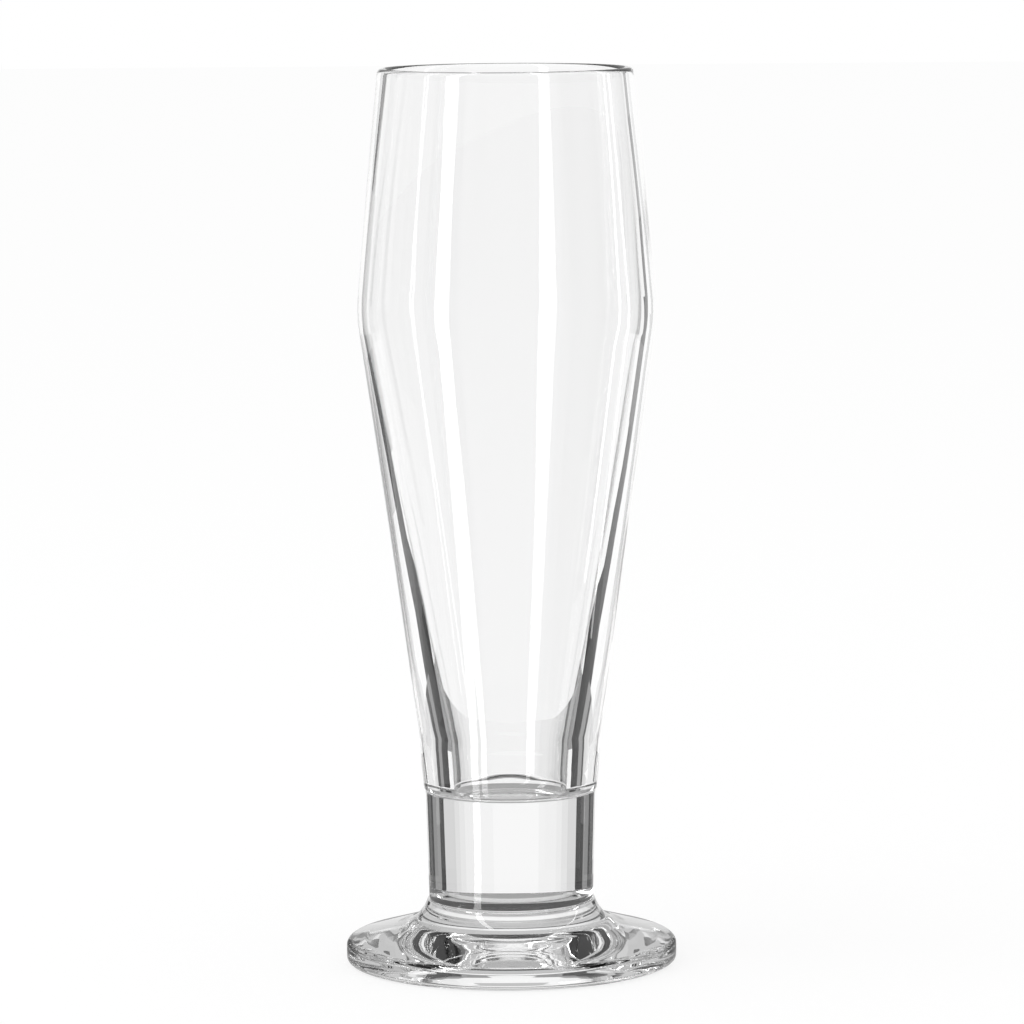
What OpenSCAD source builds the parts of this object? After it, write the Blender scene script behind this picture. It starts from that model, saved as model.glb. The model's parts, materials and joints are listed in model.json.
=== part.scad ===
// Footed pilsner glass: a blown bowl, a solid stem and a pressed foot, all turned about one axis.
// Heights stack up from the table, and widths step out from the stem, so each size can change alone.

/* [Heights] */
// Foot's edge, from the table up, before it is rounded
edge_h = 5.4; // [4.2:0.1:7]
// Foot's upper face, from its edge to the root of the neck
face_h = 5.4; // [3:0.1:7]
// Neck of the foot, from its root to the stem
neck_h = 5; // [3:0.1:9]
// Stem, from the foot's neck to the bowl's heel
stem_h = 27.9; // [15:0.1:60]
// Heel of the bowl, from the stem to the start of the taper
heel_h = 12.8; // [8:0.1:20]
// Taper of the bowl, from the heel up to the belly
taper_h = 107.3; // [60:0.1:150]
// Crown of the bowl, from the belly up to the rim
crown_h = 61.2; // [35:0.1:90]

/* [Bowl outside] */
// Diameter at the rim
rim_d = 63.6; // [56:0.1:72]
// Diameter at the belly, before its corner is softened
belly_d = 75.2; // [66:0.1:84]
// Step out from the stem to the bottom of the heel, each side
heel_step = 0.3; // [0.1:0.05:0.8]
// Further swell of the heel up to its middle, each side
heel_mid_swell = 0.65; // [0.2:0.05:2]
// Further swell of the heel up to its top, each side
heel_top_swell = 0.95; // [0.4:0.05:3]
// How far the crown's wall swells out from a straight cone
crown_bow = 0.2; // [0:0.05:1]
// How far the taper's wall is drawn in from a straight cone
taper_bow = 0.25; // [0:0.05:1]
// Radius that softens the belly
belly_round = 40; // [10:1:80]
// Radius that softens the heel
heel_round = 30; // [10:1:80]

/* [Bowl inside] */
// Wall at the rim, which is melted round
rim_wall = 2.6; // [1.6:0.05:3.4]
// Wall half-way up the crown
crown_wall = 2.2; // [1.4:0.05:3.2]
// Wall at the belly
belly_wall = 2.5; // [1.6:0.05:4]
// Wall half-way up the taper
taper_wall = 4.4; // [3:0.05:6.5]
// Wall at the top of the heel
heel_wall = 7.6; // [5:0.05:9]
// Wall beside the floor of the hollow, under the heel
floor_wall = 7.7; // [7:0.05:10.5]
// Radius in the corner of the floor
floor_round = 2.4; // [0.8:0.1:4]
// Glass under the middle of the floor
base_t = 3.5; // [3:0.1:6]
// How far the bowl's rounded underside sits down in the stem
seat_depth = 4.7; // [3:0.1:6]

/* [Stem] */
// Diameter at the top of the stem
stem_d = 42.9; // [36:0.1:48]
// How much narrower the stem is at its bottom, each side
stem_draw = 0.8; // [0:0.05:3]
// Rounding of the edges that meet at a joint, which leaves a crease
crease_round = 0.35; // [0.2:0.05:0.9]

/* [Foot] */
// Diameter of the foot
foot_d = 83.3; // [70:0.1:100]
// Step out from the stem to the top of the neck, each side
neck_step = 0.45; // [0.1:0.05:0.9]
// Flare of the neck from its top to its root, each side
neck_flare = 1.5; // [0.5:0.1:5]
// Radius of the hollow curve between the neck and the upper face
neck_fillet = 9.6; // [4:0.1:14]
// Rounding of the foot's upper edge
edge_round = 1.8; // [0.8:0.1:2.4]
// Rounding of the foot's lower edge
bearing_round = 1.4; // [0.5:0.1:1.8]
// Width of the flat ring that the glass stands on
bearing_w = 5.2; // [2:0.1:8]
// Depth of the recess inside that ring
recess_depth = 1.5; // [0.8:0.1:3]

/* [Hidden] */
$fn = 96;

glass_color = [0.86, 0.93, 0.93, 0.55];

// Radius of the long gentle bows in the walls
bow_round = 6000;
// Largest turn of one chord on an arc, and the fewest chords in one
arc_step = 9;
arc_chords = 4;
// A corner whose turn has a smaller sine than this counts as straight
straight_sine = 0.00001;
// Chords across a shallow cap
cap_chords = 16;
// Place of a wall's middle, as a share of its length
middle_share = 0.5;
// How much of an edge each of its two roundings may take
edge_share = 0.5;

neck_z = edge_h + face_h;
foot_h = neck_z + neck_h;
seam_z = foot_h + stem_h;
heel_z = seam_z + heel_h;
belly_z = heel_z + taper_h;
rim_z = belly_z + crown_h;

stem_r = stem_d / 2;
stem_low_r = stem_r - stem_draw;
seam_r = stem_r + heel_step;
heel_r = seam_r + heel_top_swell;
floor_r = seam_r - floor_wall;
belly_r = belly_d / 2;
rim_r = rim_d / 2;
neck_r = stem_low_r + neck_step;
foot_r = foot_d / 2;
bearing_r = foot_r - bearing_round - bearing_w;

// The bowl's underside and the stem's cup share this seat, inside both rounded edges
seat_r = stem_r - crease_round;
floor_z = seam_z - seat_depth + base_t;

function middle(a, b) = a + (b - a) * middle_share;
function unit(v) = v / norm(v);

// Points across a shallow round cap, from its middle up to its edge, without the edge's own point
function cap(edge_r, edge_z, rise) =
    let (ball = (edge_r * edge_r + rise * rise) / (2 * rise))
    [for (i = [0 : cap_chords - 1])
        let (x = edge_r * i / cap_chords)
        [x, edge_z + rise - ball + sign(rise) * sqrt(ball * ball - x * x)]];

// A corner is [distance from the axis, height, rounding]
function place(corner) = [corner[0], corner[1]];

// How far a corner's rounding may reach towards its neighbour
function reach(corner, neighbour) =
    norm(place(neighbour) - place(corner)) * (neighbour[2] > 0 ? edge_share : 1);

// The arc that rounds one corner between its neighbours
function arc(before, corner, after) =
    let (u = unit(place(before) - place(corner)),
         v = unit(place(after) - place(corner)))
    abs(cross(u, v)) < straight_sine ? [place(corner)] :
    let (half = acos(u * v) / 2,
         tangent = min(corner[2] / tan(half), reach(corner, before), reach(corner, after)),
         r = tangent * tan(half),
         centre = place(corner) + unit(u + v) * r / sin(half),
         from = place(corner) + u * tangent - centre,
         to = place(corner) + v * tangent - centre,
         turn = sign(cross(from, to)) * (180 - 2 * half),
         start = atan2(from[1], from[0]),
         chords = max(arc_chords, ceil(abs(turn) / arc_step)))
    [for (i = [0 : chords])
        let (a = start + turn * i / chords)
        centre + r * [cos(a), sin(a)]];

// An outline with its corners rounded, all but the first and the last
function rounded(corners) =
    [for (i = [0 : len(corners) - 1])
        let (corner = corners[i])
        each (corner[2] > 0 ? arc(corners[i - 1], corner, corners[i + 1]) : [place(corner)])];

// Up the outside of the bowl from its seat, over the rim and down the hollow to its floor
bowl_corners =
    let (crown_mid = middle([belly_r, belly_z], [rim_r, rim_z]) + [crown_bow, 0],
         taper_mid = middle([heel_r, heel_z], [belly_r, belly_z]) - [taper_bow, 0])
    [[seat_r, seam_z, 0],
     [seam_r, seam_z, seam_r - seat_r],
     [seam_r + heel_mid_swell, middle(seam_z, heel_z), heel_round],
     [heel_r, heel_z, heel_round],
     [taper_mid[0], taper_mid[1], bow_round],
     [belly_r, belly_z, belly_round],
     [crown_mid[0], crown_mid[1], bow_round],
     [rim_r, rim_z, rim_wall / 2],
     [rim_r - rim_wall, rim_z, rim_wall / 2],
     [crown_mid[0] - crown_wall, crown_mid[1], bow_round],
     [belly_r - belly_wall, belly_z, belly_round],
     [taper_mid[0] - taper_wall, taper_mid[1], bow_round],
     [heel_r - heel_wall, heel_z, heel_round],
     [floor_r, floor_z, floor_round],
     [0, floor_z, 0]];

// Down the outside of the stem from the seat, to the middle of its flat bottom
stem_corners =
    [[seat_r, seam_z, 0],
     [stem_r, seam_z, crease_round],
     [stem_low_r, foot_h, crease_round],
     [0, foot_h, 0]];

// Up the outside of the foot from the recess, to the middle of its flat top
foot_corners =
    [[bearing_r, 0, 0],
     [foot_r, 0, bearing_round],
     [foot_r, edge_h, edge_round],
     [neck_r + neck_flare, neck_z, neck_fillet],
     [neck_r, foot_h, crease_round],
     [0, foot_h, 0]];

// A solid turned about the axis, from the cap at its middle and the outline that closes it
module turned(cap_points, corners) {
    color(glass_color)
        rotate_extrude()
            polygon(concat(cap_points, rounded(corners)));
}

module bowl() {
    turned(cap(seat_r, seam_z, -seat_depth), bowl_corners);
}

module stem() {
    turned(cap(seat_r, seam_z, -seat_depth), stem_corners);
}

module foot() {
    turned(cap(bearing_r, 0, recess_depth), foot_corners);
}

bowl();
stem();
foot();
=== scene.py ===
# %% [markdown]
# A pilsner glass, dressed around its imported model
#
# The real glass is three pieces of hot glass: a bowl, a short solid stem and a pressed foot. They are
# joined while they glow, so no surface is left inside where two of them meet. What you see is how the
# outer skin bends and mirrors the room. So this scene spends its effort on three things: smooth turned
# skins, a joint that light passes straight through, and a studio with dark cards beside the glass.

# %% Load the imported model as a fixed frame
import json
import math

import bpy
from mathutils import Matrix, Vector

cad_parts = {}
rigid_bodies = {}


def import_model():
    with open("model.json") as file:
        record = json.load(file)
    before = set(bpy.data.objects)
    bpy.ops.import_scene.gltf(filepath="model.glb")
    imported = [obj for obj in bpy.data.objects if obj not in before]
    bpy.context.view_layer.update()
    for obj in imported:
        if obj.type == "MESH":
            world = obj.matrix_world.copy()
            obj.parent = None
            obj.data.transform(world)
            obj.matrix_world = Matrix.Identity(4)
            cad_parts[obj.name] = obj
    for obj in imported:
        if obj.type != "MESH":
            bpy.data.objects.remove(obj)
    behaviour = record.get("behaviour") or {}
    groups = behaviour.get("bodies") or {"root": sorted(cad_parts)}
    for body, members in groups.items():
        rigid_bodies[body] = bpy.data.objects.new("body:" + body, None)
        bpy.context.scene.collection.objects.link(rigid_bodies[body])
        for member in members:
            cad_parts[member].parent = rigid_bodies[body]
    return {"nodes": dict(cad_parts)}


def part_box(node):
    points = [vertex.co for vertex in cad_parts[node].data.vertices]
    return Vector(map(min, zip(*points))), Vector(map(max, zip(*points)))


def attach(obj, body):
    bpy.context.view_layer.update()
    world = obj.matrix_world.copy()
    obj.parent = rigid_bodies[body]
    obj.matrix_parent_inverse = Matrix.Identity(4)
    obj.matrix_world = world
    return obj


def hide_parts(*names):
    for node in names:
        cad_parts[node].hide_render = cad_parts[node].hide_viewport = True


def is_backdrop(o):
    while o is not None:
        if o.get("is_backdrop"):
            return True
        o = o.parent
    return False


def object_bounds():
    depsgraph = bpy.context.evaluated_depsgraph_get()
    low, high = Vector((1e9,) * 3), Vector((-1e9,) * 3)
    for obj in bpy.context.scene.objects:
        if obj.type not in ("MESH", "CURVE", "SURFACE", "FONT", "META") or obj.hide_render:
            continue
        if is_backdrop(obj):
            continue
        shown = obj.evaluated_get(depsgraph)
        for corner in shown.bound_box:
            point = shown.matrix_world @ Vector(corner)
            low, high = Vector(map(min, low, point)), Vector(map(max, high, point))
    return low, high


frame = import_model()
cad_low, cad_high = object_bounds()
print("nodes:", sorted(frame["nodes"]))
print("box in metres:", [round(v, 4) for v in cad_low], [round(v, 4) for v in cad_high])

# %% [markdown]
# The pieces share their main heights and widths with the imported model, so these are read from the frame.
# They are in metres, as everything in Blender is here.

# %% Heights and widths from the frame
mm = 0.001

bowl_low, bowl_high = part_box("bowl")
stem_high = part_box("stem")[1]
foot_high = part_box("foot")[1]

rim_z = bowl_high.z
seam_z = stem_high.z
neck_top_z = foot_high.z
seat_depth = seam_z - bowl_low.z
stem_r = stem_high.x
foot_r = foot_high.x
print("rim at", round(rim_z / mm, 1), "mm, top of the stem at", round(seam_z / mm, 1), "mm")

# %% [markdown]
# The outside of the bowl has two straight-looking stretches, the crown above and the taper below. Each
# really bows a little, because soft glass never follows a ruler. Between them lies the belly, the
# widest place, and under the taper the heel stands nearly upright on the stem.

# %% Outside of the bowl
crown_h = 61.2 * mm
taper_h = 107.3 * mm
belly_z = rim_z - crown_h
heel_z = belly_z - taper_h

rim_r = 31.8 * mm
belly_corner_r = 37.6 * mm
seam_r = stem_r + 0.3 * mm
heel_mid_r = seam_r + 0.65 * mm
heel_r = seam_r + 0.95 * mm

crown_bow = 0.2 * mm
taper_bow = 0.25 * mm
belly_round = 40 * mm
heel_round = 30 * mm
bow_round = 6000 * mm
# The crown is shorter, and a bow that filled it would leave no room for the belly's rounding
crown_bow_round = 2300 * mm
crown_hollow_round = 850 * mm
print("belly at", round(belly_z / mm, 1), "mm, heel up to", round(heel_z / mm, 1), "mm")

# %% [markdown]
# The wall is thin in the crown and over three times as thick at the heel, because the glass gathers at
# the bottom of the mould. The rim is a touch thicker than the crown, since it was melted round.

# %% Walls and floor of the bowl
rim_wall = 2.6 * mm
crown_wall = 2.2 * mm
belly_wall = 2.5 * mm
taper_wall = 4.4 * mm
heel_wall = 7.6 * mm
floor_wall = 7.7 * mm
base_t = 3.5 * mm

floor_r = seam_r - floor_wall
floor_z = seam_z - seat_depth + base_t
floor_round = 2.4 * mm
print("floor of the hollow at", round(floor_z / mm, 1), "mm")

# %% [markdown]
# The stem is a rod that narrows a little downwards, and the foot is a disc with a low flared neck. A
# small rounding on both sides of each joint leaves the fine crease that rings the glass there.

# %% Stem and foot
crease_round = 0.35 * mm
seat_r = stem_r - crease_round
stem_low_r = stem_r - 0.8 * mm
joint_r = stem_low_r - crease_round

edge_h = 5.4 * mm
neck_z = edge_h + 5.4 * mm
neck_r = stem_low_r + 0.45 * mm
neck_root_r = neck_r + 1.5 * mm
neck_fillet = 9.6 * mm
edge_round = 1.8 * mm
bearing_round = 1.4 * mm
bearing_w = 5.2 * mm
bearing_r = foot_r - bearing_round - bearing_w
recess_depth = 1.5 * mm
print("bearing ring", round(bearing_r / mm, 1), "to", round((foot_r - bearing_round) / mm, 1), "mm")

# %% [markdown]
# A turned piece is one outline and one axis. Each outline below is a list of corners. A corner holds its
# distance from the axis, its height, the radius that rounds it, and whether it lies on a joint or in
# the hollow. Both shallow caps, the seat under the bowl and the recess under the foot, are parts of a ball.

# %% Corners of a shallow round cap
GLASS, JOINT, HOLLOW = "glass", "joint", "hollow"
cap_steps = 12


def middle(a, b):
    return (a + b) / 2


def cap(edge_r, edge_z, rise, kind):
    """Corners from the middle of a shallow round cap to just before its edge."""
    ball = (edge_r ** 2 + rise ** 2) / (2 * abs(rise))
    corners = []
    for step in range(cap_steps):
        r = edge_r * step / cap_steps
        drop = ball - math.sqrt(ball ** 2 - r ** 2)
        corners.append((r, edge_z + rise - math.copysign(drop, rise), 0, kind))
    return corners


# %% [markdown]
# Now each outline is written down as the maker would trace it. The bowl's goes up the outside from its
# seat, over the rim and down the hollow to its floor. The corners half-way up the crown and the taper
# are set off by their bow, which bends the wall there.

# %% Outlines of the three pieces
crown_mid_r = middle(belly_corner_r, rim_r) + crown_bow
crown_mid_z = middle(belly_z, rim_z)
taper_mid_r = middle(heel_r, belly_corner_r) - taper_bow
taper_mid_z = middle(heel_z, belly_z)

bowl_outline = cap(seat_r, seam_z, -seat_depth, JOINT) + [
    (seat_r, seam_z, 0, JOINT),
    (seam_r, seam_z, seam_r - seat_r, GLASS),
    (heel_mid_r, middle(seam_z, heel_z), heel_round, GLASS),
    (heel_r, heel_z, heel_round, GLASS),
    (taper_mid_r, taper_mid_z, bow_round, GLASS),
    (belly_corner_r, belly_z, belly_round, GLASS),
    (crown_mid_r, crown_mid_z, crown_bow_round, GLASS),
    (rim_r, rim_z, rim_wall / 2, GLASS),
    (rim_r - rim_wall, rim_z, rim_wall / 2, HOLLOW),
    (crown_mid_r - crown_wall, crown_mid_z, crown_hollow_round, HOLLOW),
    (belly_corner_r - belly_wall, belly_z, belly_round, HOLLOW),
    (taper_mid_r - taper_wall, taper_mid_z, bow_round, HOLLOW),
    (heel_r - heel_wall, heel_z, heel_round, HOLLOW),
    (floor_r, floor_z, floor_round, HOLLOW),
    (0, floor_z, 0, HOLLOW),
]
stem_outline = [
    (0, neck_top_z, 0, JOINT),
    (joint_r, neck_top_z, 0, JOINT),
    (stem_low_r, neck_top_z, crease_round, GLASS),
    (stem_r, seam_z, crease_round, GLASS),
    (seat_r, seam_z, 0, JOINT),
] + cap(seat_r, seam_z, -seat_depth, JOINT)[::-1]
foot_outline = cap(bearing_r, 0, recess_depth, GLASS) + [
    (bearing_r, 0, 0, GLASS),
    (foot_r, 0, bearing_round, GLASS),
    (foot_r, edge_h, edge_round, GLASS),
    (neck_root_r, neck_z, neck_fillet, GLASS),
    (neck_r, neck_top_z, crease_round, GLASS),
    (joint_r, neck_top_z, 0, JOINT),
    (0, neck_top_z, 0, JOINT),
]
print("corners:", len(bowl_outline), len(stem_outline), len(foot_outline))

# %% [markdown]
# The glass itself is a Principled shader with all its weight in transmission. Blown and pressed glass
# is never quite flat, so a small group adds the faint waves that its skin kept from the mould and the
# fire. Every glass piece takes its normal from this one group.

# %% Helpers for node trees


def new_group(name, kind, sockets):
    """A node group with its inputs and outputs, each given as (name, in or out, type, value)."""
    group = bpy.data.node_groups.new(name, kind)
    for label, side, socket_type, value in sockets:
        socket = group.interface.new_socket(label, in_out=side, socket_type=socket_type)
        if value is not None:
            socket.default_value = value
    return group


def node(tree, kind, place, **settings):
    """A node of that kind in the tree, at that place on its sheet, with its settings."""
    made = tree.nodes.new(kind)
    made.location = place
    for key, value in settings.items():
        setattr(made, key, value)
    return made


# %% [markdown]
# The waves are about three times as tall as they are wide, because the soft glass sank and stretched
# under its own weight. The group also gives a trace of haze, so that highlights are not perfectly hard.

# %% Group: faint waves of a fire-polished skin
skin = new_group("fire_polished_skin", "ShaderNodeTree", [
    ("Waves per Metre", "INPUT", "NodeSocketFloat", 60.0),
    ("Wave Strength", "INPUT", "NodeSocketFloat", 0.05),
    ("Wave Height", "INPUT", "NodeSocketFloat", 0.1 * mm),
    ("Haze", "INPUT", "NodeSocketFloat", 0.004),
    ("Roughness", "OUTPUT", "NodeSocketFloat", None),
    ("Normal", "OUTPUT", "NodeSocketVector", None),
])
entry = node(skin, "NodeGroupInput", (-900, 0))
leave = node(skin, "NodeGroupOutput", (400, 0))
here = node(skin, "ShaderNodeTexCoord", (-900, -300))
stretch = node(skin, "ShaderNodeMapping", (-700, -300))
upward_squeeze = 0.35
stretch.inputs["Scale"].default_value = (1.0, 1.0, upward_squeeze)
waves = node(skin, "ShaderNodeTexNoise", (-500, -150))
waves.inputs["Detail"].default_value = 1.0
waves.inputs["Roughness"].default_value = 0.4
bump = node(skin, "ShaderNodeBump", (-200, -150))
breath = node(skin, "ShaderNodeMapRange", (-200, 150))
skin.links.new(here.outputs["Object"], stretch.inputs["Vector"])
skin.links.new(stretch.outputs["Vector"], waves.inputs["Vector"])
skin.links.new(entry.outputs["Waves per Metre"], waves.inputs["Scale"])
skin.links.new(entry.outputs["Wave Strength"], bump.inputs["Strength"])
skin.links.new(entry.outputs["Wave Height"], bump.inputs["Distance"])
skin.links.new(waves.outputs["Fac"], bump.inputs["Height"])
skin.links.new(waves.outputs["Fac"], breath.inputs["Value"])
skin.links.new(entry.outputs["Haze"], breath.inputs["To Max"])
skin.links.new(breath.outputs["Result"], leave.inputs["Roughness"])
skin.links.new(bump.outputs["Normal"], leave.inputs["Normal"])

# %% [markdown]
# Soda-lime glass bends light by 1.51 and takes almost nothing from it. The three pieces share one recipe.
# The bowl was blown, so its waves are the widest. The foot was pressed and polished, so its waves are
# finer and a little stronger.

# %% Material: clear glass
glass_colour = (0.995, 0.995, 0.995, 1.0)
glass_ior = 1.51


def clear_glass(name, waves_per_metre, wave_strength):
    """Clear soda-lime glass whose skin has that many waves, that strong."""
    material = bpy.data.materials.new(name)
    material.use_nodes = True
    tree = material.node_tree
    shader = tree.nodes["Principled BSDF"]
    shader.inputs["Base Color"].default_value = glass_colour
    shader.inputs["Transmission Weight"].default_value = 1.0
    shader.inputs["IOR"].default_value = glass_ior
    shader.inputs["Roughness"].default_value = 0.0
    surface = node(tree, "ShaderNodeGroup", (-300, 0), node_tree=skin)
    surface.inputs["Waves per Metre"].default_value = waves_per_metre
    surface.inputs["Wave Strength"].default_value = wave_strength
    tree.links.new(surface.outputs["Roughness"], shader.inputs["Roughness"])
    tree.links.new(surface.outputs["Normal"], shader.inputs["Normal"])
    return material


bowl_glass = clear_glass("bowl_glass", 45.0, 0.05)
stem_glass = clear_glass("stem_glass", 60.0, 0.05)
foot_glass = clear_glass("foot_glass", 70.0, 0.08)

# %% [markdown]
# Where hot glass met hot glass there is no gap and no skin: light goes straight on. Each piece here is a
# closed solid, as on the bench, so its joint face exists. That face gets a material with no alpha, and
# the three solids bend light like one body of glass.

# %% Material: a joint that light passes straight through
fused_joint = bpy.data.materials.new("fused_joint")
fused_joint.use_nodes = True
fused_joint.node_tree.nodes["Principled BSDF"].inputs["Alpha"].default_value = 0.0

# %% [markdown]
# The lathe is a Geometry Nodes tree, since a turned shape follows one rule. The outline's corners are
# rounded with Fillet Curve, long stretches are cut into short rows, and a flat grid is then wrapped
# round the axis: its rows follow the outline and its columns follow the turn. The hollow of a blown
# bowl is never quite central, so the tree also pushes the inner wall a little to one side.

# %% Geometry Nodes: the lathe
lathe = new_group("glass_lathe", "GeometryNodeTree", [
    ("Geometry", "OUTPUT", "NodeSocketGeometry", None),
    ("Geometry", "INPUT", "NodeSocketGeometry", None),
    ("Turns", "INPUT", "NodeSocketInt", 192),
    ("Arc Rows", "INPUT", "NodeSocketInt", 12),
    ("Row Height", "INPUT", "NodeSocketFloat", 0.002),
    ("Fine Row", "INPUT", "NodeSocketFloat", 0.0006),
    ("Fine Below", "INPUT", "NodeSocketFloat", 0.075),
    ("Hollow Shift", "INPUT", "NodeSocketFloat", 0.0),
    ("Belly Shift", "INPUT", "NodeSocketFloat", 0.0),
    ("Belly Height", "INPUT", "NodeSocketFloat", 0.1638),
    ("Belly Spread", "INPUT", "NodeSocketFloat", 0.026),
    ("Floor Height", "INPUT", "NodeSocketFloat", 0.0425),
    ("Rim Height", "INPUT", "NodeSocketFloat", 0.225),
    ("Glass", "INPUT", "NodeSocketMaterial", None),
    ("Joint", "INPUT", "NodeSocketMaterial", None),
])


def maths(tree, place, operation, a, b=None, c=None):
    """A Math node on sockets or numbers. Gives its output."""
    made = node(tree, "ShaderNodeMath", place, operation=operation)
    for index, value in enumerate((a, b, c)):
        if value is None:
            continue
        if isinstance(value, (int, float)):
            made.inputs[index].default_value = value
        else:
            tree.links.new(value, made.inputs[index])
    return made.outputs[0]


def attribute(tree, place, name, kind="FLOAT"):
    """A Named Attribute node. Gives its output."""
    made = node(tree, "GeometryNodeInputNamedAttribute", place, data_type=kind)
    made.inputs["Name"].default_value = name
    return made.outputs["Attribute"]


# %% [markdown]
# First the outline becomes a curve, and Fillet Curve rounds each corner by the radius stored there.

# %% Geometry Nodes: round the corners
link = lathe.links.new
sizes = node(lathe, "NodeGroupInput", (-2600, 0))
to_curve = node(lathe, "GeometryNodeMeshToCurve", (-2400, 200))
fillet = node(lathe, "GeometryNodeFilletCurve", (-2200, 200), mode="POLY")
fillet.inputs["Limit Radius"].default_value = True
link(sizes.outputs["Geometry"], to_curve.inputs["Mesh"])
link(to_curve.outputs["Curve"], fillet.inputs["Curve"])
link(sizes.outputs["Arc Rows"], fillet.inputs["Count"])
link(attribute(lathe, (-2400, 0), "rounding"), fillet.inputs["Radius"])

# %% [markdown]
# Then each stretch is cut into rows by its own length, measured to the next point. Rows are fine in the
# heel, the stem and the foot, where thick glass magnifies every facet, and coarser in the wall above.

# %% Geometry Nodes: cut the rows
index = node(lathe, "GeometryNodeInputIndex", (-2400, -200))
place = node(lathe, "GeometryNodeInputPosition", (-2400, -300))
next_place = node(lathe, "GeometryNodeFieldAtIndex", (-2200, -200), data_type="FLOAT_VECTOR", domain="POINT")
gap = node(lathe, "ShaderNodeVectorMath", (-2000, -200), operation="DISTANCE")
next_index = maths(lathe, (-2300, -100), "ADD", index.outputs["Index"], 1)
link(next_index, next_place.inputs["Index"])
link(place.outputs["Position"], next_place.inputs["Value"])
link(place.outputs["Position"], gap.inputs[0])
link(next_place.outputs["Value"], gap.inputs[1])
level = node(lathe, "ShaderNodeSeparateXYZ", (-2200, -400))
link(place.outputs["Position"], level.inputs["Vector"])
low = maths(lathe, (-2000, -400), "LESS_THAN", level.outputs["Z"], sizes.outputs["Fine Below"])
finer = maths(lathe, (-2000, -500), "SUBTRACT", sizes.outputs["Fine Row"], sizes.outputs["Row Height"])
row_height = maths(lathe, (-1800, -400), "MULTIPLY_ADD", low, finer, sizes.outputs["Row Height"])
cuts = maths(lathe, (-1800, -200), "DIVIDE", gap.outputs["Value"], row_height)
rows = node(lathe, "GeometryNodeSubdivideCurve", (-1800, 200))
link(fillet.outputs["Curve"], rows.inputs["Curve"])
link(cuts, rows.inputs["Cuts"])

# %% [markdown]
# A flat grid has one column for each step of the turn and one row for each point of the outline. The
# number of a grid point tells its row and its column, and the column gives its angle round the axis.

# %% Geometry Nodes: a grid with a row for each point of the outline
row_count = node(lathe, "GeometryNodeAttributeDomainSize", (-1600, 400), component="CURVE")
columns = maths(lathe, (-1600, 600), "ADD", sizes.outputs["Turns"], 1)
grid = node(lathe, "GeometryNodeMeshGrid", (-1400, 400))
link(rows.outputs["Curve"], row_count.inputs["Geometry"])
link(columns, grid.inputs["Vertices X"])
link(row_count.outputs["Point Count"], grid.inputs["Vertices Y"])

point = node(lathe, "GeometryNodeInputIndex", (-1400, 100)).outputs["Index"]
count = row_count.outputs["Point Count"]
row = maths(lathe, (-1200, 200), "FLOORED_MODULO", point, count)
column = maths(lathe, (-1000, 0), "FLOOR", maths(lathe, (-1200, 0), "DIVIDE", point, count))
share = maths(lathe, (-800, 0), "DIVIDE", column, sizes.outputs["Turns"])
angle = maths(lathe, (-600, 0), "MULTIPLY", share, math.tau)

# %% [markdown]
# Every grid point now looks up what the outline holds at its row: the place, and whether it is in the
# hollow or on a joint. The distance from the axis, turned by the angle, gives the point on the glass.

# %% Geometry Nodes: wrap the grid round the axis


def on_outline(place, kind, value):
    """What the outline holds at this row."""
    sample = node(lathe, "GeometryNodeSampleIndex", place, data_type=kind, domain="POINT")
    link(rows.outputs["Curve"], sample.inputs["Geometry"])
    link(value, sample.inputs["Value"])
    link(row, sample.inputs["Index"])
    return sample.outputs["Value"]


corner = node(lathe, "ShaderNodeSeparateXYZ", (-600, 300))
link(on_outline((-800, 300), "FLOAT_VECTOR", place.outputs["Position"]), corner.inputs["Vector"])
in_hollow = on_outline((-800, -250), "FLOAT", attribute(lathe, (-1000, -250), "hollow"))
on_joint = on_outline((-800, -450), "FLOAT", attribute(lathe, (-1000, -450), "joint"))
radius, height = corner.outputs["X"], corner.outputs["Z"]
sideways = maths(lathe, (-400, 100), "MULTIPLY", radius, maths(lathe, (-400, 0), "COSINE", angle))
towards = maths(lathe, (-400, -100), "MULTIPLY", radius, maths(lathe, (-400, -200), "SINE", angle))

# %% [markdown]
# A blown wall is a little thicker on one side. The hollow is pushed aside by a smooth arch that is nought
# at the floor and the rim, and once more by a bell that only acts at the belly. Outside, nothing moves.

# %% Geometry Nodes: a hollow that is not quite central
span = maths(lathe, (-600, 700), "SUBTRACT", sizes.outputs["Rim Height"], sizes.outputs["Floor Height"])
above = maths(lathe, (-600, 800), "SUBTRACT", height, sizes.outputs["Floor Height"])
climb = maths(lathe, (-500, 800), "DIVIDE", above, span)
arch = maths(lathe, (-300, 800), "SINE", maths(lathe, (-400, 800), "MULTIPLY", climb, math.pi))
whole = maths(lathe, (-200, 800), "MULTIPLY", arch, sizes.outputs["Hollow Shift"])

off = maths(lathe, (-600, 950), "SUBTRACT", height, sizes.outputs["Belly Height"])
away = maths(lathe, (-500, 950), "DIVIDE", off, sizes.outputs["Belly Spread"])
squared = maths(lathe, (-400, 950), "MULTIPLY", away, away)
bell = maths(lathe, (-200, 950), "EXPONENT", maths(lathe, (-300, 950), "MULTIPLY", squared, -0.5))
at_belly = maths(lathe, (-100, 950), "MULTIPLY", bell, sizes.outputs["Belly Shift"])

both = maths(lathe, (0, 900), "ADD", whole, at_belly)
shift = maths(lathe, (100, 850), "MULTIPLY", both, in_hollow)
final = node(lathe, "ShaderNodeCombineXYZ", (600, 200))
link(maths(lathe, (400, 200), "SUBTRACT", sideways, shift), final.inputs["X"])
link(towards, final.inputs["Y"])
link(height, final.inputs["Z"])
turned = node(lathe, "GeometryNodeSetPosition", (800, 400))
link(grid.outputs["Mesh"], turned.inputs["Geometry"])
link(final.outputs["Vector"], turned.inputs["Position"])

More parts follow.
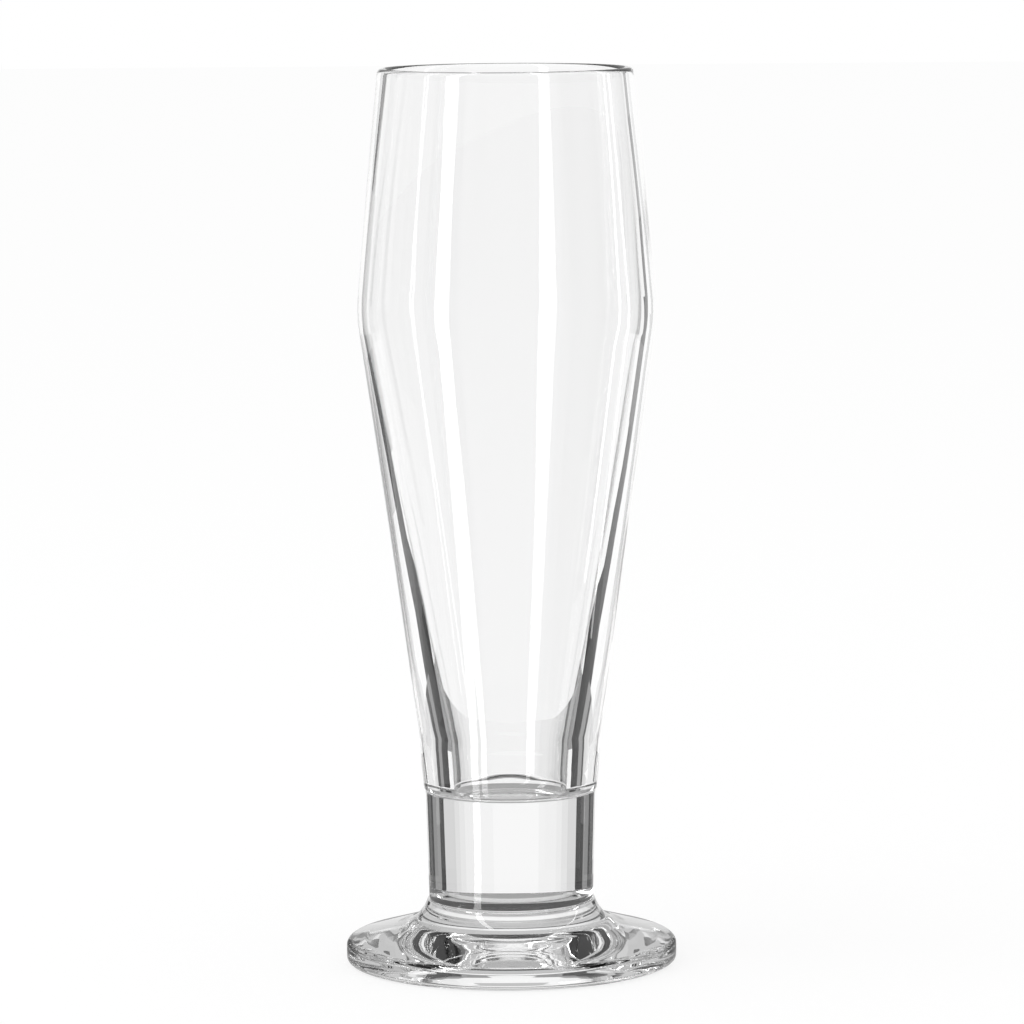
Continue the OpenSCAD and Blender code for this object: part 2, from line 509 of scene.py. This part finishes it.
# %% [markdown]
# The grid's two ends meet and its first and last rows shrink to points on the axis. Merging the points
# that coincide closes the solid. Before that, each face whose corners all lie on a joint is marked.

# %% Geometry Nodes: mark the joint and close the solid
coincide = 0.002 * mm
all_corners = 0.99

labelled = node(lathe, "GeometryNodeStoreNamedAttribute", (900, 400), data_type="FLOAT", domain="POINT")
labelled.inputs["Name"].default_value = "joint"
marked = node(lathe, "GeometryNodeStoreNamedAttribute", (1000, 400), data_type="FLOAT", domain="FACE")
marked.inputs["Name"].default_value = "on_joint"
whole_face = maths(lathe, (800, 100), "GREATER_THAN", attribute(lathe, (700, 100), "joint"), all_corners)
closed = node(lathe, "GeometryNodeMergeByDistance", (1200, 400))
closed.inputs["Distance"].default_value = coincide
link(turned.outputs["Geometry"], labelled.inputs["Geometry"])
link(on_joint, labelled.inputs["Value"])
link(labelled.outputs["Geometry"], marked.inputs["Geometry"])
link(whole_face, marked.inputs["Value"])
link(marked.outputs["Geometry"], closed.inputs["Geometry"])

# %% [markdown]
# The skin is smooth, but round a joint face the edge stays hard, or the joint's flat would tilt the
# shading of the skin beside it. Read on an edge, the mark is 1 inside the joint, 0 on the skin and
# a half on the border between them. Last, the joint's faces get the joint's material.

# %% Geometry Nodes: smooth the skin and give the materials
border = 0.5
border_slack = 0.25

smooth = node(lathe, "GeometryNodeSetShadeSmooth", (1400, 400), domain="FACE")
crease = node(lathe, "GeometryNodeSetShadeSmooth", (1600, 400), domain="EDGE")
crease.inputs["Shade Smooth"].default_value = False
all_glass = node(lathe, "GeometryNodeSetMaterial", (1800, 400))
joint_faces = node(lathe, "GeometryNodeSetMaterial", (2000, 400))
plain = node(lathe, "GeometryNodeRealizeInstances", (2200, 400))
leave = node(lathe, "NodeGroupOutput", (2400, 400))
joint_mark = attribute(lathe, (1200, 100), "on_joint")
edge_of_joint = maths(lathe, (1400, 100), "COMPARE", joint_mark, border, border_slack)
link(closed.outputs["Geometry"], smooth.inputs["Geometry"])
link(smooth.outputs["Geometry"], crease.inputs["Geometry"])
link(edge_of_joint, crease.inputs["Selection"])
link(crease.outputs["Geometry"], all_glass.inputs["Geometry"])
link(sizes.outputs["Glass"], all_glass.inputs["Material"])
link(all_glass.outputs["Geometry"], joint_faces.inputs["Geometry"])
link(maths(lathe, (1800, 100), "GREATER_THAN", joint_mark, border), joint_faces.inputs["Selection"])
link(sizes.outputs["Joint"], joint_faces.inputs["Material"])
link(joint_faces.outputs["Geometry"], plain.inputs["Geometry"])
link(plain.outputs["Geometry"], leave.inputs["Geometry"])
print("the lathe has", len(lathe.nodes), "nodes")

# %% [markdown]
# Each piece is the same lathe with its own outline. The modifier's inputs are set by their identifiers,
# then the evaluated shape is copied to a plain mesh, so that nothing stays live on the piece.

# %% From an outline to a plain mesh


def outline_object(name, corners):
    """A wire of the outline's corners in the XZ plane, with what the lathe reads at each one."""
    wire = bpy.data.meshes.new(name)
    steps = [(i, i + 1) for i in range(len(corners) - 1)]
    wire.from_pydata([(r, 0, z) for r, z, rounding, kind in corners], steps, [])
    columns = {
        "rounding": [rounding for r, z, rounding, kind in corners],
        "joint": [float(kind == JOINT) for r, z, rounding, kind in corners],
        "hollow": [float(kind == HOLLOW) for r, z, rounding, kind in corners],
    }
    for label, values in columns.items():
        wire.attributes.new(label, "FLOAT", "POINT").data.foreach_set("value", values)
    made = bpy.data.objects.new(name, wire)
    bpy.context.scene.collection.objects.link(made)
    return made


def turn(name, corners, **inputs):
    """The finished piece: the outline turned by the lathe, as a plain mesh."""
    source = outline_object(name + "_outline", corners)
    modifier = source.modifiers.new("lathe", "NODES")
    modifier.node_group = lathe
    for item in lathe.interface.items_tree:
        if item.item_type == "SOCKET" and item.in_out == "INPUT" and item.name in inputs:
            modifier[item.identifier] = inputs[item.name]
    bpy.context.view_layer.update()
    evaluated = source.evaluated_get(bpy.context.evaluated_depsgraph_get())
    mesh = bpy.data.meshes.new_from_object(evaluated)
    mesh.name = name
    # The wire had no material, so the joined geometry may start with an empty slot
    while None in list(mesh.materials):
        mesh.materials.pop(index=list(mesh.materials).index(None))
    wire = source.data
    bpy.data.objects.remove(source)
    bpy.data.meshes.remove(wire)
    piece = bpy.data.objects.new(name, mesh)
    bpy.context.scene.collection.objects.link(piece)
    return piece


# %% [markdown]
# Now the three pieces are turned. The bowl's hollow sits a quarter of a millimetre to the left of its
# outside, and 0.8 mm more at the belly, which makes the right wall the thicker one, as in the photo.

# %% Turn the three pieces
bowl = turn("glass_bowl", bowl_outline, **{
    "Glass": bowl_glass,
    "Joint": fused_joint,
    "Hollow Shift": 0.25 * mm,
    "Belly Shift": 0.8 * mm,
    "Belly Height": belly_z,
    "Floor Height": floor_z,
    "Rim Height": rim_z,
})
stem = turn("glass_stem", stem_outline, **{"Glass": stem_glass, "Joint": fused_joint})
foot = turn("glass_foot", foot_outline, **{"Glass": foot_glass, "Joint": fused_joint})
for piece, replaced in ((bowl, "bowl"), (stem, "stem"), (foot, "foot")):
    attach(piece, "root")
    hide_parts(replaced)

# %% [markdown]
# Glass only bends light rightly in a closed solid whose faces look outwards. So each piece is checked:
# every edge must have two faces, and the volume must come out positive.

# %% Check that the solids are closed
for piece in (bowl, stem, foot):
    mesh = piece.data
    mesh.calc_loop_triangles()
    uses = {}
    for polygon in mesh.polygons:
        for key in polygon.edge_keys:
            uses[key] = uses.get(key, 0) + 1
    open_edges = sum(1 for used in uses.values() if used != 2)
    volume = 0.0
    for triangle in mesh.loop_triangles:
        a, b, c = (mesh.vertices[i].co for i in triangle.vertices)
        volume += a.dot(b.cross(c)) / 6
    count = len(mesh.loop_triangles)
    print(piece.name, count, "triangles,", open_edges, "open edges,", round(volume * 1e9), "mm3")

# %% [markdown]
# The foot in the photo is a thin oval and the sides of the glass stay nearly upright. So the camera
# stands far off with a long lens and looks down only a few degrees. A small roll levels the rim as the
# photo has it.

# %% Camera
camera_place = (0.0009, -1.393, 0.278)
camera_pitch = math.radians(6.723)
camera_roll = math.radians(-0.42)
camera_lens = 196.63

camera_data = bpy.data.cameras.new("camera")
camera_data.sensor_width = 36
camera_data.lens = camera_lens
camera = bpy.data.objects.new("camera", camera_data)
bpy.context.scene.collection.objects.link(camera)
bpy.context.scene.camera = camera
tilt = Matrix.Rotation(math.pi / 2 - camera_pitch, 4, "X") @ Matrix.Rotation(camera_roll, 4, "Z")
camera.matrix_world = Matrix.Translation(camera_place) @ tilt
bpy.context.view_layer.update()
print("camera", round(-camera_place[1], 2), "m off, lens", camera_lens, "mm")

# %% [markdown]
# Clear glass on white shows nothing of its own. It shows the room, bent. The room here is a white sweep,
# so the world is plain white and a wide sheet of paper lies on the table. It lies a hair below the
# glass, because a ring that touched it would be glued to it optically.

# %% White sweep
world = bpy.data.worlds.new("studio")
bpy.context.scene.world = world
world.use_nodes = True
world.node_tree.nodes["Background"].inputs["Color"].default_value = (1, 1, 1, 1)

sweep_half = 6.0
paper_z = -0.2 * mm
floor_mesh = bpy.data.meshes.new("floor")
floor_corners = [(x * sweep_half, y * sweep_half, 0) for x, y in ((-1, -1), (1, -1), (1, 1), (-1, 1))]
floor_mesh.from_pydata(floor_corners, [], [(0, 1, 2, 3)])
floor = bpy.data.objects.new("floor", floor_mesh)
floor.location.z = paper_z
bpy.context.scene.collection.objects.link(floor)
floor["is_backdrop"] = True
print("floor", 2 * sweep_half, "m wide,", round(paper_z / mm, 2), "mm high")

# %% [markdown]
# The paper asks Light Path what kind of ray has arrived. Rays that end in the eye, straight, mirrored or
# bent, meet four parts of evenly lit white to one part of matt paper. So the background stays white, and
# the matt part keeps the shadow under the foot.

# %% Material: white paper
paper_colour = (0.9, 0.9, 0.9, 1)
even_share = 0.8

paper = bpy.data.materials.new("white_paper")
paper.use_nodes = True
tree = paper.node_tree
tree.nodes.clear()
rays = node(tree, "ShaderNodeLightPath", (-600, 200))
eye, mirror, bent = (rays.outputs[f"Is {kind} Ray"] for kind in ("Camera", "Glossy", "Transmission"))
seen = maths(tree, (-200, 200), "MAXIMUM", maths(tree, (-400, 250), "MAXIMUM", eye, mirror), bent)
matt = node(tree, "ShaderNodeBsdfDiffuse", (0, 0))
matt.inputs["Color"].default_value = paper_colour
even = node(tree, "ShaderNodeEmission", (0, -200))
blend = node(tree, "ShaderNodeMixShader", (300, 0))
end = node(tree, "ShaderNodeOutputMaterial", (600, 0))
tree.links.new(maths(tree, (0, 200), "MULTIPLY", seen, even_share), blend.inputs["Fac"])
tree.links.new(matt.outputs[0], blend.inputs[1])
tree.links.new(even.outputs[0], blend.inputs[2])
tree.links.new(blend.outputs[0], end.inputs["Surface"])
floor_mesh.materials.append(paper)

# %% [markdown]
# A photographer shapes glass with cards: dark ones draw its edges, bright ones draw its highlights. Each
# card here glows by a plain amount, where 1 is white. Only the glass sees it, in what it mirrors and in
# what it bends. The cards ride on the camera, so the glass is lit the same way from every side.

# %% A card that only glass can see


def hang(name, points, faces, glow):
    """A stage card of those points and faces, glowing by that much."""
    material = bpy.data.materials.new(name)
    material.use_nodes = True
    tree = material.node_tree
    tree.nodes.clear()
    light = node(tree, "ShaderNodeEmission", (0, 0))
    light.inputs["Strength"].default_value = glow
    end = node(tree, "ShaderNodeOutputMaterial", (200, 0))
    tree.links.new(light.outputs[0], end.inputs["Surface"])
    mesh = bpy.data.meshes.new(name)
    mesh.from_pydata(points, [], faces)
    mesh.materials.append(material)
    made = bpy.data.objects.new(name, mesh)
    bpy.context.scene.collection.objects.link(made)
    made.visible_camera = False
    made.visible_diffuse = False
    made.visible_shadow = False
    made.visible_volume_scatter = False
    made.parent = camera
    made.matrix_parent_inverse = camera.matrix_world.inverted()
    made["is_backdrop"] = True
    return made


# %% [markdown]
# Most cards hang on one drum round the glass. What lies on the table is in thin layers between the paper
# and the glass, so that no layer lies in another. Angles are in degrees: 0 is straight behind the glass,
# positive angles are to the right in the picture, and 180 is towards the camera.

# %% Sizes of the set, and a point by its angle
drum = 130 * mm
top = 320 * mm
room = 3.0
table_from = 44 * mm
shade_z = -0.12 * mm
gleam_z = -0.08 * mm
dark_z = -0.06 * mm
dark = 0.03


def around(angle, distance, height):
    """The point at that angle round the glass, in degrees, that distance off and that high."""
    a = math.radians(angle)
    return (distance * math.sin(a), distance * math.cos(a), height)


# %% [markdown]
# The cards come in three shapes. An upright card curves round the glass, a mat lies on the table, and a
# patch of sky belongs to the far room. All three are bands between a lower and an upper edge.

# %% Three shapes of card


def strip(start, stop, step, low_edge, high_edge):
    """Points and faces of a band between two edges. Each edge is (distance, height)."""
    steps = max(2, int(abs(stop - start) / step))
    points = []
    for i in range(steps + 1):
        angle = start + (stop - start) * i / steps
        points += [around(angle, *low_edge), around(angle, *high_edge)]
    faces = [(2 * i, 2 * i + 2, 2 * i + 3, 2 * i + 1) for i in range(steps)]
    return points, faces


def upright(name, start, stop, low, high, glow, distance=drum):
    """A curved card that stands at that distance."""
    return hang(name, *strip(start, stop, 2, (distance, low), (distance, high)), glow)


def mat(name, start, stop, inner, outer, glow, height=shade_z):
    """A flat sector on the table."""
    return hang(name, *strip(start, stop, 4, (inner, height), (outer, height)), glow)


def sky(name, start, stop, low, high, glow):
    """A patch of the far room between two elevations, in degrees."""
    bands = 4
    points, faces = [], []
    for band in range(bands):
        edges = []
        for k in (band, band + 1):
            e = math.radians(low + (high - low) * k / bands)
            edges.append((room * math.cos(e), room * math.sin(e)))
        more, quads = strip(start, stop, 5, *edges)
        faces += [tuple(index + len(points) for index in quad) for quad in quads]
        points += more
    return hang(name, points, faces, glow)


# %% [markdown]
# The thick wall of the taper bends light by some forty to sixty degrees and a little downwards. There it
# finds the table beside the glass. Two dark strips run back over the table on either side of the white
# sweep, as mirror images. They draw the dark bands that follow both walls of the bowl.

# %% Dark strips on the table
# Corners of the right strip in mm, as (to the right, away from the camera)
inner_edge = [(75, 95), (110, 155), (170, 208), (195, 275), (230, 360), (270, 490), (355, 690), (560, 960)]
far_end = [(900, 1500), (1150, 1500)]
outer_edge = [(600, 840), (430, 590), (330, 400), (282, 280), (236, 200), (230, 150), (205, 105), (110, 65)]
outline = inner_edge + far_end + outer_edge
for name, side in (("dark_strip_right", 1), ("dark_strip_left", -1)):
    points = [(side * x * mm, y * mm, dark_z) for x, y in outline]
    hang(name, points, [tuple(range(len(points)))], dark)
print("dark strips have", len(outline), "corners each")

# %% [markdown]
# Close to the glass the white table gets painted shade: grey mats stand in for the glass's shadow there,
# darkest in a painted ring of shadow under the recess. The neck of the foot bends light straight down to it
# and takes its dark line from that ring.

# %% Painted shade on the table close to the glass
# Painted shade: these mats darken the white paper where the glass's shadow falls, most in the ring under the
# recess
mat("under_middle", 0, 360, 0, 19 * mm, 0.5)
mat("under_recess", 0, 360, 19 * mm, 30 * mm, 0.08)
mat("under_ring", 0, 360, 30 * mm, table_from, 0.6)
mat("near_table", 0, 360, table_from, 190 * mm, 0.36)

# %% [markdown]
# The stem is a solid rod, so it acts as a strong lens. It squeezes all that stands low behind it into
# its own width: white in the middle and softly greyer outwards, then a fine dark edge, a grey strip and
# a dark one at each side.

# %% Low cards behind the stem
stem_card_top = 33 * mm
stem_card_drum = 120 * mm
# Each card as (name, first angle, last angle, glow)
stem_cards = [
    ("stem_middle", -10, 6, 0.98),
    ("stem_near_left", -18, -10, 0.93),
    ("stem_half_left", -21, -18, 0.89),
    ("stem_far_left", -25, -21, 0.82),
    ("stem_slope_left", -32, -25, 0.71),
    ("stem_edge_left", -41, -32, dark),
    ("stem_grey_left", -50, -41, 0.28),
    ("stem_dark_left", -66, -50, dark),
    ("stem_near_right", 6, 12, 0.94),
    ("stem_half_right", 12, 18, 0.89),
    ("stem_far_right", 18, 21, 0.83),
    ("stem_low_right", 21, 24, 0.77),
    ("stem_slope_right", 24, 33, 0.68),
    ("stem_edge_right", 33, 38, dark),
    ("stem_grey_right", 38, 49, 0.3),
    ("stem_dark_right", 49, 66, dark),
]
for name, start, stop, glow in stem_cards:
    upright(name, start, stop, 0, stem_card_top, glow, stem_card_drum)

# %% [markdown]
# The crown's wall is thin and looks out level, over the table. Narrow dark cards up there draw its
# inner line, and half-grey ones beside them give its outer edge a tone against the white. Two darker
# cards under them carry the line round the belly, down to where the table's dark strips take over.

# %% High cards beside the crown
belly_top = 135 * mm
turn_left = 200 * mm
# On the right a slanted card leads from the low line to the high one
bend_low = 180 * mm
bend_high = 215 * mm
bend_corners = [
    around(42.5, drum, bend_low),
    around(48.5, drum, bend_low),
    around(53, drum, bend_high),
    around(47, drum, bend_high),
]
upright("crown_line_left", -53, -44, turn_left, top, 0.12)
upright("crown_line_left_low", -57, -44, belly_top, turn_left, 0.45)
upright("belly_line_left", -60, -43, 90 * mm, belly_top, 0.05)
upright("crown_edge_left", -76, -61, belly_top, top, 0.6)
upright("crown_line_right", 47, 53, bend_high, top, 0.45)
upright("crown_line_right_low", 42.5, 48.5, belly_top, bend_low, 0.1)
hang("crown_line_right_bend", bend_corners, [(0, 1, 2, 3)], 0.3)
upright("belly_line_right", 42.5, 50, 110 * mm, belly_top, 0.1)
upright("crown_edge_right", 56, 76, belly_top, top, 0.55)

# %% [markdown]
# The front of the glass mirrors the side of the room where the camera stands. It is grey, so the clear
# wall keeps a faint even tone. One tall softbox on the left draws the two wide streaks, once off the
# outside and once off the hollow. Its image in the table carries the streak down to the neck. A slit on
# the right draws the two thin streaks.

# %% Front half of the room, softbox and slit
upright("side_left", -100, -76, 0, top, 0.65)
upright("room_left", -133, -100, 0, top, 0.5)
upright("front_left", -180, -141, 0, top, 0.5)
upright("side_right", 76, 100, 0, top, 0.58)
upright("flag_right", 100, 136, 0, top, 0.15)
upright("front_right", 136, 180, 0, top, 0.5)

# The softbox and the slit hang just inside the drum
softbox = (-141.5, -132)
softbox_glow = 6.0
softbox_drum = drum - 5 * mm
slit_drum = drum - 4 * mm
upright("softbox", *softbox, 0, top, softbox_glow, softbox_drum)
mat("softbox_in_table", *softbox, table_from, softbox_drum, softbox_glow, gleam_z)
upright("slit", 84.5, 87, 50 * mm, top, 5.0, slit_drum)

# %% [markdown]
# The foot looks up as well as out. Above the sweep the room is grey, with a dark ceiling edge behind,
# and the low parts at both sides are a paler grey.

# %% Far room
sky("wall_left", -76, -50, 0, 12, 0.75)
sky("wall_right", 50, 76, 0, 12, 0.7)
sky("room_grey", 0, 360, 12, 48, 0.55)
sky("ceiling_edge", -40, 48, 48, 63, 0.05)
cards = [item for item in bpy.data.objects if item.parent == camera]
print(len(cards), "cards round the glass")

# %% [markdown]
# One soft lamp lights the paper from the upper left. The glass doesn't mirror it, since the softbox
# card already stands for it there.

# %% Lamp
lamp_side = 1.2
lamp_watts = 6
lamp_place = (-0.9, -0.4, 1.3)
lamp_target = Vector((0, 0, 0.1))

lamp_data = bpy.data.lights.new("key", "AREA")
lamp_data.shape = "RECTANGLE"
lamp_data.size = lamp_side
lamp_data.size_y = lamp_side
lamp_data.energy = lamp_watts
lamp = bpy.data.objects.new("key", lamp_data)
bpy.context.scene.collection.objects.link(lamp)
lamp.location = lamp_place
lamp.rotation_euler = (lamp_target - lamp.location).to_track_quat("-Z", "Y").to_euler()
lamp.visible_glossy = False
lamp.visible_transmission = False
lamp.visible_camera = False

# %% [markdown]
# Light that enters the foot is mirrored many times inside it before it gets out. A path that is cut
# short turns black, so paths in the glass may be mirrored as often as they may be bent.

# %% Colours as written, and longer mirrored paths
most_mirrorings = 12
scene = bpy.context.scene
scene.view_settings.view_transform = "Standard"
scene.cycles.glossy_bounces = most_mirrorings
print("a path may be bent", scene.cycles.transmission_bounces, "times and mirrored", most_mirrorings)

# %% [markdown]
# Last, the dressed glass is measured against the imported model, and the largest drift between the two boxes
# is printed, so that any drift in size shows at once.

# %% Measure and finish
new_low, new_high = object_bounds()
drift = max(abs(a - b) for a, b in zip([*cad_low, *cad_high], [*new_low, *new_high]))
print("largest drift from the packed model:", round(drift / mm, 3), "mm")
